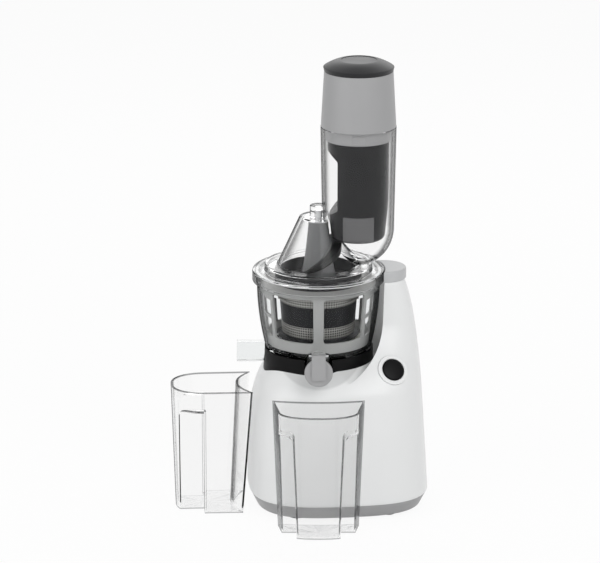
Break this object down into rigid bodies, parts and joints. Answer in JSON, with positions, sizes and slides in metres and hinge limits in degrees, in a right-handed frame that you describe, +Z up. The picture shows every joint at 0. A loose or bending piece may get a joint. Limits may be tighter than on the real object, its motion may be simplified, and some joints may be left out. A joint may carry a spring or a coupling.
{
  "type": "cold press juicer",
  "caption": "Vertical cold press juicer: motor base with a side tower, clear bowl with strainer, brush cage and auger, lid with a wide feed tube and pusher, and clear cups.",
  "frame": {"origin": "centre of the footprint of the whole set, cups included, on the table under the rubber feet", "axes": "+Z up; -Y is the front, where the juice spout points; +X is the side of the tower and the power button; the pulp outlet points along -X"},
  "size_m": [0.2821, 0.2272, 0.498],
  "materials": {
    "white_shell": "satin moulded",
    "gray_trim": "fine grain",
    "light_gray": "smooth",
    "dark_plastic": "fine grain",
    "rubber_black": "matt",
    "silicone": "matt",
    "steel": "ground",
    "motor_iron": "coated",
    "aluminium": "die-cast",
    "brass": "turned",
    "clear_smoke": "clear, faintly smoky",
    "clear": "clear",
    "strainer_dark": "smooth",
    "auger_gray": "smooth",
    "board_green": "lacquered",
    "gear_white": "smooth"
  },
  "bodies": {
    "base": {"main_housing": "white_shell", "latch_cap": "light_gray", "base_ring": "gray_trim", "base_plate": "gray_trim", "rubber_feet": "rubber_black", "base_screws": "steel", "bowl_seat": "dark_plastic", "gearbox_case": "dark_plastic", "gearbox_lid": "dark_plastic", "gearbox_screws": "steel", "output_bushing": "brass", "output_seal": "rubber_black", "gear_pin": "steel", "motor_front_bell": "aluminium", "motor_rear_bell": "aluminium", "motor_stator": "motor_iron", "motor_windings": "brass", "motor_bearings": "steel", "motor_mounts": "rubber_black", "control_board": "board_green", "board_parts": "dark_plastic", "switch_bezel": "white_shell", "switch_body": "dark_plastic", "lid_switch": "dark_plastic", "cord_inlet": "rubber_black"},
    "button": {"power_button": "dark_plastic"},
    "output": {"output_shaft": "steel", "output_gear": "brass"},
    "layshaft": {"layshaft_gear": "gear_white", "layshaft_pinion": "steel"},
    "rotor": {"motor_shaft": "steel", "motor_rotor": "motor_iron", "motor_pinion": "brass", "cooling_fan": "dark_plastic"},
    "bowl": {"juicing_bowl": "clear_smoke", "bowl_shaft_seal": "silicone", "pulp_plug": "silicone", "spout_hinge_pin": "steel", "idler_pin": "steel", "strainer_frame": "strainer_dark", "strainer_mesh": "steel"},
    "idler": {"idler_gear": "gear_white"},
    "cage": {"brush_cage": "light_gray", "brush_wipers": "silicone"},
    "auger": {"auger": "auger_gray", "auger_socket": "steel", "auger_gear": "gear_white"},
    "juice_cap": {"juice_cap": "light_gray", "juice_cap_seal": "silicone"},
    "lid_ring": {"lid_seal": "silicone"},
    "lid": {"lid": "clear"},
    "pusher": {"pusher_rod": "dark_plastic", "pusher_foot": "auger_gray", "pusher_collar": "gray_trim", "pusher_hood": "gray_trim", "pusher_cap": "dark_plastic"},
    "juice_cup": {"juice_cup": "clear"},
    "pulp_cup": {"pulp_cup": "clear"}
  },
  "joints": [
    {"name": "button_press", "type": "slide", "parent": "base", "child": "button", "axis": [-0.3118, 0.7456, -0.589], "range_m": [0, 0.003], "stiffness_N_per_m": 500},
    {"name": "rotor_spin", "type": "hinge", "parent": "base", "child": "rotor", "pos_m": [0.02051, 0.02242, 0.066], "axis": [0, 0, 1], "continuous": true},
    {"name": "layshaft_spin", "type": "hinge", "parent": "base", "child": "layshaft", "pos_m": [0.02051, 0.04642, 0.11], "axis": [0, 0, 1], "continuous": true},
    {"name": "output_spin", "type": "hinge", "parent": "base", "child": "output", "pos_m": [0.02051, 0.02242, 0.117], "axis": [0, 0, 1], "continuous": true},
    {"name": "bowl_lift", "type": "slide", "parent": "base", "child": "bowl", "axis": [0, 0, 1], "range_m": [0, 0.12]},
    {"name": "idler_spin", "type": "hinge", "parent": "bowl", "child": "idler", "pos_m": [0.05201, 0.02242, 0.187], "axis": [0, 0, 1], "continuous": true},
    {"name": "cage_spin", "type": "hinge", "parent": "bowl", "child": "cage", "pos_m": [0.02051, 0.02242, 0.187], "axis": [0, 0, 1], "continuous": true},
    {"name": "auger_spin", "type": "hinge", "parent": "bowl", "child": "auger", "pos_m": [0.02051, 0.02242, 0.206], "axis": [0, 0, 1], "continuous": true},
    {"name": "juice_cap_open", "type": "hinge", "parent": "bowl", "child": "juice_cap", "pos_m": [0.02051, -0.06658, 0.1931], "axis": [-1, 0, 0], "range_deg": [0, 110]},
    {"name": "lid_turn", "type": "hinge", "parent": "bowl", "child": "lid_ring", "pos_m": [0.02051, 0.02242, 0.262], "axis": [0, 0, 1], "range_deg": [-35, 0]},
    {"name": "lid_lift", "type": "slide", "parent": "lid_ring", "child": "lid", "axis": [0, 0, 1], "range_m": [0, 0.08]},
    {"name": "pusher_lift", "type": "slide", "parent": "lid", "child": "pusher", "axis": [0, 0, 1], "range_m": [0, 0.13]},
    {"name": "juice_cup_pull", "type": "slide", "parent": "base", "child": "juice_cup", "axis": [0, -1, 0], "range_m": [0, 0.15]},
    {"name": "pulp_cup_pull", "type": "slide", "parent": "base", "child": "pulp_cup", "axis": [-1, 0, 0], "range_m": [0, 0.15]}
  ],
  "couplings": [
    {"joint": "layshaft_spin", "follows": "rotor_spin", "ratio": -0.25},
    {"joint": "output_spin", "follows": "rotor_spin", "ratio": 0.0625},
    {"joint": "auger_spin", "follows": "rotor_spin", "ratio": 0.0625},
    {"joint": "cage_spin", "follows": "rotor_spin", "ratio": -0.025},
    {"joint": "idler_spin", "follows": "rotor_spin", "ratio": -0.083333}
  ]
}
